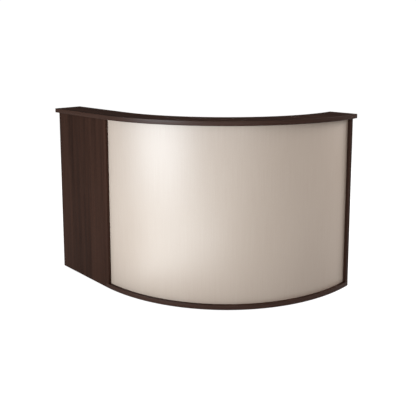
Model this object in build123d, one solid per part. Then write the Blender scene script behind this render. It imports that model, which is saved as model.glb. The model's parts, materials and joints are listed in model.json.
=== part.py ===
"""Curved checkout counter: a 90 degree convex front with a pearl facing, a straight drawer and door
cabinet tangent to its left end, a high transaction shelf in front and a lower worktop behind it.

Built about the centre of the front's arc, with the straight front facing -Y and the staff side facing
+Y, then moved so that the origin is the middle of the whole counter's box on the floor. Millimetres.
Plan angles are counted from the straight unit's end of the arc (0, at -Y) to the free end (90, at +X).
"""

from build123d import *
import math
import os

# Driving dimensions: the whole counter
FRONT_RADIUS = 1130.0  # outer face of the base board and of the gables' front edges
TOTAL_HEIGHT = 1150.0
WORKTOP_HEIGHT = 740.0
STRAIGHT_WIDTH = 520.0
COUNTER_DEPTH = 600.0  # front edge to the worktop's staff edge
ARC_ANGLE = 90.0

# Boards
BOARD = 28.0  # shelf, worktops, base board and the curved unit's gables
CARCASS_BOARD = 18.0  # cabinet boards, straight front, support ribs
GLIDE_HEIGHT = 5.0
EDGE_BAND = 2.0
GLUE_LINE = 0.1
FIT_GAP = 0.2
CUT = 1.0  # how far a cutter reaches past the face that it starts from

# Transaction shelf and facing
SHELF_DEPTH = 200.0
SHELF_FRONT_OVERHANG = 10.0
SHELF_END_OVERHANG = 35.0
FACING_RECESS = 20.0
FACING_THICKNESS = 4.0
CORE_THICKNESS = 16.0
EDGE_ROUND = 1.0

# Curved unit
UPPER_GABLE_DEPTH = 200.0
WORKTOP_OVERHANG = 10.0
BASE_BOARD_DEPTH = 200.0
RIB_ANGLE = 45.0
RIB_REACH = 370.0
RIB_FOOT = 150.0
RIB_TOP = 130.0

# Cable grommets
GROMMET_ANGLES = {"left": 20.0, "right": 70.0}
GROMMET_RADIUS = 1000.0
GROMMET_BORE = 27.5
GROMMET_WALL = 2.5
GROMMET_FLANGE = 38.0
GROMMET_LIP = 2.0
GROMMET_CLEARANCE = 0.3
CAP_THICKNESS = 3.5
CAP_NOTCH_WIDTH = 20.0
CAP_NOTCH_DEPTH = 14.0
LEDGE = 2.5

# Cabinet
PLINTH_HEIGHT = 60.0
PLINTH_SETBACK = 50.0
DOOR_GAP = 2.2
DRAWER_FRONT_HEIGHT = 130.0
RAIL_DEPTH = 80.0
SHELF_LEVEL = 300.0
SHELF_SETBACK = 30.0
SHELF_SIDE_GAP = 1.0
SHELF_BACK_GAP = 2.0
PIN_RADIUS = 2.5
PIN_LENGTH = 16.0
PIN_HOLE_DEPTH = 9.0
PIN_INSET = 60.0  # from the cabinet shelf's two long edges

# Drawer and slides
SLIDE_LENGTH = 450.0
SLIDE_THICKNESS = 12.7
SLIDE_HEIGHT = 45.0
SLIDE_SHEET = 1.2
SLIDE_CLEARANCE = 0.6
DRAWER_BOARD = 12.0
DRAWER_BOTTOM = 6.0
DRAWER_SIDE_HEIGHT = 86.0
DRAWER_SIDE_LIFT = 10.0  # above the front's lower edge
DRAWER_BOTTOM_LIFT = 8.0  # above the sides' lower edges
MIDDLE_CHANNEL_SHORTER = 2.0

# Door hinges
HINGE_HEIGHT = 70.0
HINGE_LEAF = 25.0
HINGE_SHEET = 1.0
KNUCKLE_RADIUS = 3.5
HINGE_PIN_RADIUS = 1.5
RUNNING_FIT = 0.05
KNUCKLE_GAP = 0.3
HINGE_INSET = 90.0
HINGE_SPLITS = (0.3, 0.7)  # where the door's knuckle starts and ends, up the hinge
HINGE_SCREW_SHARE = 0.3  # a screw's distance from the hinge's middle, of its height
HINGE_SCREW_HEAD = 2.7
HINGE_SCREW_RADIUS = 1.76
PIN_HEAD_HEIGHT = 2.0
PIN_END = 1.0  # how far the hinge pin stands out below

# Handles and locks
HANDLE_SPACING = 128.0
HANDLE_BAR = 12.0
HANDLE_BAR_DEPTH = 9.0
HANDLE_ROUND = 2.4
HANDLE_STANDOFF = 26.0
HANDLE_POST = 5.0
HANDLE_HOLE_DEPTH = 15.6
HANDLE_SCREW_REACH = 13.0
DRAWER_HANDLE_RISE = 54.6  # above the drawer front's lower edge
DOOR_HANDLE_INSET = 45.0
DOOR_HANDLE_DROP = 170.0
SCREW_RADIUS = 2.0
SCREW_HEAD = 4.0
SCREW_HEAD_HEIGHT = 2.0
LOCK_RADIUS = 9.0
PLUG_RADIUS = 6.0
LOCK_FLANGE = 12.0
LOCK_FLANGE_HEIGHT = 2.0
LOCK_NUT_HEIGHT = 2.5
LOCK_DROP = 25.0
LOCK_INSET = 40.0  # from the door's free edge
CAM_LENGTH = 35.0
CAM_WIDTH = 14.0
CAM_THICKNESS = 3.0
CAM_OFFSET = 3.0
MORTISE_DEPTH = 12.0
MORTISE_WIDTH = 56.0
MORTISE_CLEARANCE = 1.0
KEYWAY_WIDTH = 1.6
KEYWAY_DEPTH = 8.0
KEYWAY_HALF_LENGTH = 4.2

# Brackets and fasteners
BRACKET_LEG = 40.0
BRACKET_WIDTH = 30.0
BRACKET_SHEET = 3.0
BRACKET_ANGLES = [12.0, 30.0, 60.0, 78.0]
BRACKET_SCREW_RADIUS = 2.2
BRACKET_SCREW_HEAD = 4.5
BRACKET_SCREW_LENGTH = 12.0
BRACKET_SCREW_HEAD_HEIGHT = 2.25
CONNECTOR_LEVELS = [170.0, 480.0]  # of the two bolts behind the facing, under the worktop
CONNECTOR_INSET = 90.0  # of the other two, from the worktop and from the shelf
CONNECTOR_RADIUS = 4.0
CONNECTOR_CLEARANCE = 0.25
CONNECTOR_HEAD = 9.0
CONNECTOR_HEAD_HEIGHT = 2.5
GLIDE_RADIUS = 12.0
GLIDE_ANGLES = [8.0, 30.0, 60.0, 82.0]
GLIDE_SETBACK = 60.0  # of the base board's glides, from the front
GLIDE_INSET = 40.0  # of the other glides, from their board's end
GLIDE_MARGIN = 0.5

# Levels
FLOOR_GAP = GLIDE_HEIGHT
BASE_TOP = FLOOR_GAP + BOARD
SHELF_BOTTOM = TOTAL_HEIGHT - BOARD
WORKTOP_BOTTOM = WORKTOP_HEIGHT - BOARD

# Plan places, about the centre of the arc
STAFF_EDGE_RADIUS = FRONT_RADIUS - COUNTER_DEPTH
GABLE_BACK_RADIUS = STAFF_EDGE_RADIUS + WORKTOP_OVERHANG
UPPER_BACK_RADIUS = FRONT_RADIUS - UPPER_GABLE_DEPTH
FACING_RADIUS = FRONT_RADIUS - FACING_RECESS
CORE_OUTER = FACING_RADIUS - FACING_THICKNESS
CORE_INNER = CORE_OUTER - CORE_THICKNESS
SHELF_OUTER = FRONT_RADIUS + SHELF_FRONT_OVERHANG
SHELF_INNER = SHELF_OUTER - SHELF_DEPTH
GABLE_FRONT = math.sqrt(FRONT_RADIUS**2 - BOARD**2)
STRAIGHT_BACK = -FRONT_RADIUS + CARCASS_BOARD  # inner face of the straight front
CABINET_LEFT = -STRAIGHT_WIDTH + CARCASS_BOARD
CABINET_RIGHT = -CARCASS_BOARD
CABINET_MIDDLE = (CABINET_LEFT + CABINET_RIGHT) / 2
CABINET_FACE = -GABLE_BACK_RADIUS
CABINET_FLOOR = FLOOR_GAP + PLINTH_HEIGHT + CARCASS_BOARD
RAIL_BOTTOM = WORKTOP_BOTTOM - CARCASS_BOARD
DRAWER_TOP = RAIL_BOTTOM - DOOR_GAP
DRAWER_LOW = DRAWER_TOP - DRAWER_FRONT_HEIGHT
DIVIDER_TOP = DRAWER_LOW - DOOR_GAP
DIVIDER_BOTTOM = DIVIDER_TOP - CARCASS_BOARD
DOOR_TOP = DIVIDER_BOTTOM - DOOR_GAP
DOOR_LOW = FLOOR_GAP + PLINTH_HEIGHT + DOOR_GAP
FRONT_LEFT = CABINET_LEFT + DOOR_GAP
FRONT_RIGHT = CABINET_RIGHT - DOOR_GAP
FRONT_INSIDE = CABINET_FACE - CARCASS_BOARD
CABINET_BOTTOM_BACK = FRONT_INSIDE - DOOR_GAP
DOOR_LOCK_X = FRONT_RIGHT - LOCK_INSET
CAM_BACK = FRONT_INSIDE - CAM_OFFSET - CAM_THICKNESS
HINGE_X = CABINET_LEFT + DOOR_GAP / 2
HINGE_Y = CABINET_FACE + KNUCKLE_RADIUS + FIT_GAP
HINGE_SCREW_Y = CABINET_FACE - HINGE_LEAF / 2
HINGE_LEVELS = [DOOR_LOW + HINGE_INSET, DOOR_TOP - HINGE_INSET]

# The counter's own box, which puts the origin in the middle of its floor area
BOX_LOW = (-STRAIGHT_WIDTH - SHELF_END_OVERHANG, -SHELF_OUTER)
BOX_HIGH = (SHELF_OUTER, SHELF_END_OVERHANG)
TO_ORIGIN = Pos(-(BOX_LOW[0] + BOX_HIGH[0]) / 2, -(BOX_LOW[1] + BOX_HIGH[1]) / 2, 0)


def block(x0, x1, y0, y1, z0, z1):
    """A box from its six faces."""
    return Pos((x0 + x1) / 2, (y0 + y1) / 2, (z0 + z1) / 2) * Box(x1 - x0, y1 - y0, z1 - z0)


def rod(x, y, z0, z1, radius):
    """An upright cylinder between two levels."""
    return Pos(x, y, (z0 + z1) / 2) * Cylinder(radius, z1 - z0)


def rod_y(x, z, y0, y1, radius):
    """A cylinder along Y."""
    return Pos(x, (y0 + y1) / 2, z) * Rot(90, 0, 0) * Cylinder(radius, y1 - y0)


def rod_x(y, z, x0, x1, radius):
    """A cylinder along X."""
    return Pos((x0 + x1) / 2, y, z) * Rot(0, 90, 0) * Cylinder(radius, x1 - x0)


def on_arc(radius, angle):
    """The plan point at a radius and a plan angle."""
    turn = math.radians(angle)
    return radius * math.sin(turn), -radius * math.cos(turn)


def arc_board(inner, outer, z0, z1, start=0.0, end=ARC_ANGLE):
    """A board bent to a sector of a ring."""
    bow_out = CenterArc((0, 0), outer, start - 90, end - start)
    bow_in = CenterArc((0, 0), inner, start - 90, end - start)
    ends = [Line(bow_in @ 0, bow_out @ 0), Line(bow_in @ 1, bow_out @ 1)]
    plan = make_face(Curve() + [bow_out, bow_in] + ends)
    return Pos(0, 0, z0) * extrude(plan, z1 - z0)


def run_board(inner, outer, z0, z1, left, past_end=0.0):
    """A board that follows the front: straight from x = left, round the arc and on past its free end."""
    board = arc_board(inner, outer, z0, z1)
    board += block(left, 0, -outer, -inner, z0, z1)
    if past_end > 0:
        board += block(inner, outer, 0, past_end, z0, z1)
    return board


def radial(part, angle):
    """A part drawn along -Y, turned to a plan angle."""
    return Rot(0, 0, angle) * part


def profile_x(points, x0, x1):
    """A plate from a closed (y, z) outline, between two x places."""
    outline = Polyline(*[(0, y, z) for y, z in points], close=True)
    return Pos(x0, 0, 0) * extrude(make_face(outline), x1 - x0, dir=(1, 0, 0))


def between_gables(part):
    """Cuts a bent board off at the inner faces of the curved unit's gables."""
    reach = 2 * FRONT_RADIUS
    return part & block(BOARD, reach, -reach, -BOARD, 0, TOTAL_HEIGHT)


def mirrored_gable(part):
    """Turns a part of the gable at the seam into its twin at the free end of the arc."""
    return Rot(0, 0, ARC_ANGLE) * mirror(part, about=Plane.YZ)


def curved_gable_outline():
    """Front edge, shelf, step down to the worktop, staff edge, and the notch over the base board."""
    notch = FIT_GAP - math.sqrt((FRONT_RADIUS - BASE_BOARD_DEPTH) ** 2 - BOARD**2)
    return [
        (-GABLE_FRONT, BASE_TOP),
        (-GABLE_FRONT, SHELF_BOTTOM),
        (-UPPER_BACK_RADIUS, SHELF_BOTTOM),
        (-UPPER_BACK_RADIUS, WORKTOP_BOTTOM),
        (-GABLE_BACK_RADIUS, WORKTOP_BOTTOM),
        (-GABLE_BACK_RADIUS, FLOOR_GAP),
        (notch, FLOOR_GAP),
        (notch, BASE_TOP),
    ]


def connector_places():
    """The (y, z) places of the bolts that join the two units."""
    low_y = (-UPPER_BACK_RADIUS - GABLE_BACK_RADIUS) / 2
    high_y = -(CORE_INNER + UPPER_BACK_RADIUS) / 2
    low = [(low_y, level) for level in CONNECTOR_LEVELS]
    return low + [(high_y, WORKTOP_HEIGHT + CONNECTOR_INSET), (high_y, SHELF_BOTTOM - CONNECTOR_INSET)]


def connector_holes():
    radius = CONNECTOR_RADIUS + CONNECTOR_CLEARANCE
    holes = Part()
    for y, z in connector_places():
        holes += rod_x(y, z, -CARCASS_BOARD - CUT, BOARD + CUT, radius)
    return holes


def screw(radius, head, length):
    """A pan-head screw along +Z, its head on z = 0 and its shank below."""
    body = rod(0, 0, -length, 0, radius)
    return body + rod(0, 0, 0, BRACKET_SCREW_HEAD_HEIGHT, head)


def bracket():
    """A steel angle under a board at z = 0, against a face at y = 0 in front of it, with one hole a leg."""
    half = BRACKET_WIDTH / 2
    angle = block(-half, half, 0, BRACKET_LEG, -BRACKET_SHEET, 0)
    angle += block(-half, half, 0, BRACKET_SHEET, -BRACKET_LEG, 0)
    middle = BRACKET_LEG / 2 + BRACKET_SHEET / 2
    angle -= rod(0, middle, -BRACKET_SHEET, 0, BRACKET_SCREW_RADIUS)
    angle -= rod_y(0, -middle, 0, BRACKET_SHEET, BRACKET_SCREW_RADIUS)
    return angle


def bracket_screws(shank=BRACKET_SCREW_RADIUS, heads=True):
    """The two screws of a bracket, or, with no heads, the pilot holes that they go into."""
    middle = BRACKET_LEG / 2 + BRACKET_SHEET / 2
    head = BRACKET_SCREW_HEAD if heads else shank
    one = screw(shank, head, BRACKET_SCREW_LENGTH)
    up = Pos(0, middle, -BRACKET_SHEET) * Rot(180, 0, 0) * one
    front = Pos(0, BRACKET_SHEET, -middle) * Rot(-90, 0, 0) * one
    return [up, front]


def bracket_places(level):
    """Where brackets stand: against the inner face of the core, under a board's underside."""
    flat_back = math.sqrt(CORE_INNER**2 - (BRACKET_WIDTH / 2) ** 2) - FIT_GAP
    return [Rot(0, 0, angle) * Pos(0, -flat_back, level) for angle in BRACKET_ANGLES]


def curved_unit():
    """The facing, the bent core in two halves that meet at the ribs, gables, boards, ribs and brackets."""
    nodes = {}
    level_pair = (SHELF_BOTTOM, WORKTOP_BOTTOM)
    places = [place for level in level_pair for place in bracket_places(level)]
    pilots = Part()
    for place in places:
        for pilot in bracket_screws(heads=False):
            pilots += place * pilot

    base = arc_board(FRONT_RADIUS - BASE_BOARD_DEPTH, FRONT_RADIUS - EDGE_BAND, FLOOR_GAP, BASE_TOP)
    nodes["base_board"] = base
    band_inner = FRONT_RADIUS - EDGE_BAND + GLUE_LINE
    band = arc_board(band_inner, FRONT_RADIUS, FLOOR_GAP, BASE_TOP)
    long_edges = band.edges().filter_by(GeomType.CIRCLE).group_by(SortBy.RADIUS)[-1]
    nodes["base_board_edge_band"] = fillet(long_edges, EDGE_ROUND)

    gable = profile_x(curved_gable_outline(), 0, BOARD)
    nodes["seam_gable"] = gable - connector_holes()
    nodes["end_gable"] = mirrored_gable(gable)

    for side, span in {"left": (0.0, RIB_ANGLE), "right": (RIB_ANGLE, ARC_ANGLE)}.items():
        core = arc_board(CORE_INNER, CORE_OUTER, BASE_TOP, SHELF_BOTTOM, *span)
        nodes[f"front_core_panel_{side}"] = between_gables(core) - pilots
    facing = arc_board(CORE_OUTER + GLUE_LINE, FACING_RADIUS, BASE_TOP, SHELF_BOTTOM)
    nodes["pearl_front_facing"] = between_gables(facing)

    rib_back = CORE_INNER - FIT_GAP
    foot = (-rib_back + RIB_FOOT, BASE_TOP)
    reach = (-rib_back + RIB_REACH, WORKTOP_BOTTOM)
    lower = [(-rib_back, BASE_TOP), foot, reach, (-rib_back, WORKTOP_BOTTOM)]
    half = CARCASS_BOARD / 2
    nodes["worktop_support_rib"] = radial(profile_x(lower, -half, half), RIB_ANGLE)
    upper = block(-half, half, -rib_back, -rib_back + RIB_TOP, WORKTOP_HEIGHT, SHELF_BOTTOM)
    nodes["shelf_support_rib"] = radial(upper, RIB_ANGLE)

    inner = STAFF_EDGE_RADIUS + EDGE_BAND
    worktop = arc_board(inner, CORE_INNER - FIT_GAP, WORKTOP_BOTTOM, WORKTOP_HEIGHT)
    seam_corner = block(0, BOARD, -FRONT_RADIUS, -UPPER_BACK_RADIUS, 0, TOTAL_HEIGHT)
    worktop -= seam_corner
    worktop -= mirrored_gable(seam_corner)
    sleeve = GROMMET_BORE + GROMMET_WALL
    for angle in GROMMET_ANGLES.values():
        x, y = on_arc(GROMMET_RADIUS, angle)
        worktop -= rod(x, y, WORKTOP_BOTTOM, WORKTOP_HEIGHT, sleeve + GROMMET_CLEARANCE)
    nodes["curved_worktop"] = worktop - pilots
    edge = arc_board(STAFF_EDGE_RADIUS, inner - GLUE_LINE, WORKTOP_BOTTOM, WORKTOP_HEIGHT)
    staff_edges = edge.edges().filter_by(GeomType.CIRCLE).group_by(SortBy.RADIUS)[0]
    nodes["curved_worktop_edge_band"] = fillet(staff_edges, EDGE_ROUND)

    nodes["board_brackets"] = Compound(children=[place * bracket() for place in places])
    screws = [place * one for place in places for one in bracket_screws()]
    nodes["bracket_screws"] = Compound(children=screws)
    return nodes, pilots


def transaction_shelf(pilots):
    """The high shelf over both units, with bands on its four edges."""
    left = -STRAIGHT_WIDTH - SHELF_END_OVERHANG
    inset_left = left + EDGE_BAND
    inset_end = SHELF_END_OVERHANG - EDGE_BAND
    low, high = SHELF_BOTTOM, TOTAL_HEIGHT
    inner = SHELF_INNER + EDGE_BAND
    outer = SHELF_OUTER - EDGE_BAND
    board = run_board(inner, outer, low, high, inset_left, inset_end) - pilots
    front = run_board(outer + GLUE_LINE, SHELF_OUTER, low, high, left, SHELF_END_OVERHANG)
    back = run_board(SHELF_INNER, inner - GLUE_LINE, low, high, left, SHELF_END_OVERHANG)
    left_band = block(left, inset_left - GLUE_LINE, -outer, -inner, low, high)
    end_band = block(inner, outer, inset_end + GLUE_LINE, SHELF_END_OVERHANG, low, high)
    return {
        "transaction_shelf": board,
        "shelf_front_edge_band": front,
        "shelf_back_edge_band": back,
        "shelf_end_edge_bands": Compound(children=[left_band, end_band]),
    }


def straight_gable(x0, x1):
    """A cabinet side: full height beside the shelf, worktop height behind it, inside the front panel."""
    outline = [
        (STRAIGHT_BACK, FLOOR_GAP),
        (STRAIGHT_BACK, SHELF_BOTTOM),
        (-UPPER_BACK_RADIUS, SHELF_BOTTOM),
        (-UPPER_BACK_RADIUS, WORKTOP_BOTTOM),
        (CABINET_FACE, WORKTOP_BOTTOM),
        (CABINET_FACE, FLOOR_GAP),
    ]
    return profile_x(outline, x0, x1)


def lock_mortise(x, level):
    """The slot above a lock that its cam swings up into."""
    back = CAM_BACK - MORTISE_CLEARANCE
    half = MORTISE_WIDTH / 2
    return block(x - half, x + half, back, FRONT_INSIDE, level, level + MORTISE_DEPTH)


def shelf_pin_places():
    """(x of the hole's mouth, direction into the gable, y) for the four shelf pins."""
    ys = (STRAIGHT_BACK + PIN_INSET, CABINET_BOTTOM_BACK - SHELF_SETBACK - PIN_INSET)
    return [(x, way, y) for x, way in ((CABINET_LEFT, -1), (CABINET_RIGHT, 1)) for y in ys]


def shelf_pins():
    """Pins with half their length in the gable and half under the shelf."""
    pins = []
    level = SHELF_LEVEL - PIN_RADIUS
    for x, way, y in shelf_pin_places():
        ends = sorted((x + way * PIN_HOLE_DEPTH, x - way * (PIN_LENGTH - PIN_HOLE_DEPTH)))
        pins.append(rod_x(y, level, *ends, PIN_RADIUS))
    return pins


def straight_unit(hinge_holes):
    """The cabinet at the left: front panel, sides, plinth, rail, divider, adjustable shelf and worktop."""
    nodes = {}
    pins = shelf_pins()
    pin_holes = Part()
    for pin in pins:
        pin_holes += pin
    left = -STRAIGHT_WIDTH
    nodes["straight_front_panel"] = block(
        left, 0, -FRONT_RADIUS, STRAIGHT_BACK, FLOOR_GAP, SHELF_BOTTOM
    )
    nodes["outer_gable"] = straight_gable(left, CABINET_LEFT) - pin_holes - hinge_holes
    nodes["inner_gable"] = straight_gable(CABINET_RIGHT, 0) - pin_holes - connector_holes()
    sides = (CABINET_LEFT, CABINET_RIGHT)
    low = FLOOR_GAP + PLINTH_HEIGHT
    nodes["cabinet_bottom"] = block(*sides, STRAIGHT_BACK, CABINET_BOTTOM_BACK, low, CABINET_FLOOR)
    plinth_face = CABINET_FACE - PLINTH_SETBACK
    nodes["plinth_board"] = block(*sides, plinth_face - CARCASS_BOARD, plinth_face, FLOOR_GAP, low)
    rail = block(*sides, CABINET_FACE - RAIL_DEPTH, CABINET_FACE, RAIL_BOTTOM, WORKTOP_BOTTOM)
    nodes["lock_rail"] = rail - lock_mortise(CABINET_MIDDLE, RAIL_BOTTOM)
    divider = block(*sides, STRAIGHT_BACK, CABINET_FACE, DIVIDER_BOTTOM, DIVIDER_TOP)
    nodes["cabinet_divider"] = divider - lock_mortise(DOOR_LOCK_X, DIVIDER_BOTTOM)
    shelf_back = CABINET_BOTTOM_BACK - SHELF_SETBACK
    nodes["adjustable_shelf"] = block(
        CABINET_LEFT + SHELF_SIDE_GAP,
        CABINET_RIGHT - SHELF_SIDE_GAP,
        STRAIGHT_BACK + SHELF_BACK_GAP,
        shelf_back,
        SHELF_LEVEL,
        SHELF_LEVEL + CARCASS_BOARD,
    )
    nodes["shelf_pins"] = Compound(children=pins)
    staff_edge = -STAFF_EDGE_RADIUS - EDGE_BAND
    worktop = block(left, 0, STRAIGHT_BACK, staff_edge, WORKTOP_BOTTOM, WORKTOP_HEIGHT)
    worktop -= block(left, CABINET_LEFT, STRAIGHT_BACK, -UPPER_BACK_RADIUS, 0, TOTAL_HEIGHT)
    worktop -= block(CABINET_RIGHT, 0, STRAIGHT_BACK, -UPPER_BACK_RADIUS, 0, TOTAL_HEIGHT)
    nodes["straight_worktop"] = worktop
    band = block(
        left, 0, staff_edge + GLUE_LINE, -STAFF_EDGE_RADIUS, WORKTOP_BOTTOM, WORKTOP_HEIGHT
    )
    long_edges = band.edges().filter_by(Axis.X).group_by(Axis.Y)[-1]
    nodes["straight_worktop_edge_band"] = fillet(long_edges, EDGE_ROUND)
    return nodes


def bow_handle(x, z, upright):
    """A square-section bow: a bar on two round posts, standing on the face of a front."""
    half = HANDLE_SPACING / 2 + HANDLE_BAR / 2
    bar = HANDLE_BAR / 2
    out0 = CABINET_FACE + HANDLE_STANDOFF
    out1 = out0 + HANDLE_BAR_DEPTH
    grip = block(-half, half, out0, out1, -bar, bar)
    grip = fillet(grip.edges().filter_by(Axis.X), HANDLE_ROUND)
    for side in (-1, 1):
        grip += rod_y(side * HANDLE_SPACING / 2, 0, CABINET_FACE, out0 + CUT, HANDLE_POST)
    for side in (-1, 1):
        depth = CABINET_FACE + HANDLE_HOLE_DEPTH
        grip -= rod_y(side * HANDLE_SPACING / 2, 0, CABINET_FACE, depth, SCREW_RADIUS)
    turn = Rot(0, 90, 0) if upright else Rot(0, 0, 0)
    return Pos(x, 0, z) * turn * grip


def handle_screw_places(x, z, upright):
    """The (x, z) places of a handle's two screws."""
    shifts = (-HANDLE_SPACING / 2, HANDLE_SPACING / 2)
    return [(x, z + shift) if upright else (x + shift, z) for shift in shifts]


def handle_screws(x, z, upright):
    """Machine screws from behind the front into the handle's posts."""
    screws = []
    tip = CABINET_FACE + HANDLE_SCREW_REACH
    head = FRONT_INSIDE - SCREW_HEAD_HEIGHT
    for sx, sz in handle_screw_places(x, z, upright):
        body = rod_y(sx, sz, FRONT_INSIDE, tip, SCREW_RADIUS)
        screws.append(body + rod_y(sx, sz, head, FRONT_INSIDE, SCREW_HEAD))
    return screws


def lock_case(x, z):
    """The fixed shell of a cam lock: flange, threaded barrel and the nut behind the front."""
    face = CABINET_FACE
    front = face + LOCK_FLANGE_HEIGHT
    nut_back = FRONT_INSIDE - LOCK_NUT_HEIGHT
    case = rod_y(x, z, nut_back, face, LOCK_RADIUS)
    case += rod_y(x, z, face, front, LOCK_FLANGE)
    case += rod_y(x, z, nut_back, FRONT_INSIDE, LOCK_FLANGE)
    return case - rod_y(x, z, nut_back - CUT, front + CUT, PLUG_RADIUS + RUNNING_FIT)


def lock_plug(x, z):
    """The turning plug with its keyway and the cam on its end, pointing sideways when unlocked."""
    face = CABINET_FACE + LOCK_FLANGE_HEIGHT
    plug = rod_y(x, z, CAM_BACK, face, PLUG_RADIUS)
    wide, half = KEYWAY_HALF_LENGTH, KEYWAY_WIDTH / 2
    plug -= block(x - wide, x + wide, face - KEYWAY_DEPTH, face, z - half, z + half)
    half = CAM_WIDTH / 2
    lever = block(x, x + CAM_LENGTH, CAM_BACK, CAM_BACK + CAM_THICKNESS, z - half, z + half)
    return plug + lever


def lock_hole(x, z):
    return rod_y(x, z, FRONT_INSIDE - CUT, CABINET_FACE + CUT, LOCK_RADIUS + FIT_GAP)


def screw_holes(x, z, upright):
    """Clearance for the handle screws through a front."""
    holes = Part()
    for sx, sz in handle_screw_places(x, z, upright):
        holes += rod_y(sx, sz, FRONT_INSIDE, CABINET_FACE, SCREW_RADIUS + FIT_GAP)
    return holes


def slide_channel(x_wall, way, near, far, height, y0, y1, level):
    """A sheet channel: a web at near and two lips reaching to far, measured from the cabinet wall."""
    half = height / 2
    xs = sorted((x_wall + way * near, x_wall + way * (near + SLIDE_SHEET)))
    web = block(*xs, y0, y1, level - half, level + half)
    lips = sorted((x_wall + way * near, x_wall + way * far))
    web += block(*lips, y0, y1, level + half - SLIDE_SHEET, level + half)
    web += block(*lips, y0, y1, level - half, level - half + SLIDE_SHEET)
    return web


def drawer_slides(level):
    """Three nested channels a side: fixed to the cabinet, in the middle, and fixed to the drawer."""
    fixed, middle, moving = [], [], []
    y1 = FRONT_INSIDE
    y0 = y1 - SLIDE_LENGTH
    middle_end = y1 - MIDDLE_CHANNEL_SHORTER
    gap = SLIDE_CLEARANCE
    step = SLIDE_SHEET + gap
    for wall, way in ((CABINET_LEFT, 1), (CABINET_RIGHT, -1)):
        far = SLIDE_THICKNESS - SLIDE_SHEET - gap
        fixed.append(slide_channel(wall, way, 0, far, SLIDE_HEIGHT, y0, y1, level))
        mid_height = SLIDE_HEIGHT - 2 * step
        middle.append(slide_channel(wall, way, step, far, mid_height, y0, middle_end, level))
        low_height = mid_height - 2 * step
        base = SLIDE_THICKNESS
        moving.append(
            slide_channel(wall, way, base - SLIDE_SHEET, 2 * step + gap, low_height, y0, y1, level)
        )
    return fixed, middle, moving


def drawer():
    """The drawer's front, box, slides, handle and lock."""
    nodes = {}
    lock_z = DRAWER_TOP - LOCK_DROP
    handle_z = DRAWER_LOW + DRAWER_HANDLE_RISE
    front = block(FRONT_LEFT, FRONT_RIGHT, FRONT_INSIDE, CABINET_FACE, DRAWER_LOW, DRAWER_TOP)
    front -= lock_hole(CABINET_MIDDLE, lock_z)
    front -= screw_holes(CABINET_MIDDLE, handle_z, False)
    nodes["drawer_front"] = front
    box_left = CABINET_LEFT + SLIDE_THICKNESS
    box_right = CABINET_RIGHT - SLIDE_THICKNESS
    box_back = FRONT_INSIDE - SLIDE_LENGTH
    side_low = DRAWER_LOW + DRAWER_SIDE_LIFT
    side_high = side_low + DRAWER_SIDE_HEIGHT
    sides = (side_low, side_high)
    inner_left = box_left + DRAWER_BOARD
    inner_right = box_right - DRAWER_BOARD
    nodes["drawer_left_side"] = block(box_left, inner_left, box_back, FRONT_INSIDE, *sides)
    nodes["drawer_right_side"] = block(inner_right, box_right, box_back, FRONT_INSIDE, *sides)
    floor = side_low + DRAWER_BOTTOM_LIFT
    across = (inner_left, inner_right)
    back_y = box_back + DRAWER_BOARD
    nodes["drawer_back"] = block(*across, box_back, back_y, *sides)
    nodes["drawer_bottom"] = block(*across, back_y, FRONT_INSIDE, floor, floor + DRAWER_BOTTOM)
    fixed, middle, moving = drawer_slides(side_low + DRAWER_SIDE_HEIGHT / 2)
    nodes["slide_cabinet_channels"] = Compound(children=fixed)
    nodes["slide_middle_channels"] = Compound(children=middle)
    nodes["slide_drawer_channels"] = Compound(children=moving)
    nodes["drawer_handle"] = bow_handle(CABINET_MIDDLE, handle_z, False)
    nodes["drawer_handle_screws"] = Compound(children=handle_screws(CABINET_MIDDLE, handle_z, False))
    nodes["drawer_lock_case"] = lock_case(CABINET_MIDDLE, lock_z)
    nodes["drawer_lock_plug"] = lock_plug(CABINET_MIDDLE, lock_z)
    return nodes


def hinge_leaf(level, way, spans):
    """A butt hinge's leaf on one side of the axis, with its knuckles at the given spans up its height."""
    far = HINGE_X + way * DOOR_GAP / 2
    near = far - way * HINGE_SHEET
    xs = sorted((far, near))
    low = level - HINGE_HEIGHT / 2
    back = CABINET_FACE - HINGE_LEAF
    leaf = block(*xs, back, CABINET_FACE, low, low + HINGE_HEIGHT)
    for start, end in spans:
        z0 = low + start * HINGE_HEIGHT + KNUCKLE_GAP / 2
        z1 = low + end * HINGE_HEIGHT - KNUCKLE_GAP / 2
        leaf += rod(HINGE_X, HINGE_Y, z0, z1, KNUCKLE_RADIUS)
        leaf += block(*xs, CABINET_FACE, HINGE_Y, z0, z1)
    leaf -= rod(HINGE_X, HINGE_Y, low, low + HINGE_HEIGHT, HINGE_PIN_RADIUS + RUNNING_FIT)
    for place in hinge_screw_levels(level):
        leaf -= rod_x(HINGE_SCREW_Y, place, *xs, HINGE_SCREW_HEAD)
    return leaf


def hinge_screw_levels(level):
    spread = HINGE_HEIGHT * HINGE_SCREW_SHARE
    return [level - spread, level + spread]


def hinge_screw_set(way):
    """Flush-headed screws through the leaves on one side of the axis, into the board behind them."""
    screws = []
    wall = HINGE_X + way * DOOR_GAP / 2
    for level in HINGE_LEVELS:
        for z in hinge_screw_levels(level):
            head = sorted((wall, wall - way * HINGE_SHEET))
            shank = sorted((wall, wall + way * BRACKET_SCREW_LENGTH))
            body = rod_x(HINGE_SCREW_Y, z, *head, HINGE_SCREW_HEAD)
            screws.append(body + rod_x(HINGE_SCREW_Y, z, *shank, HINGE_SCREW_RADIUS))
    return screws


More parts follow.
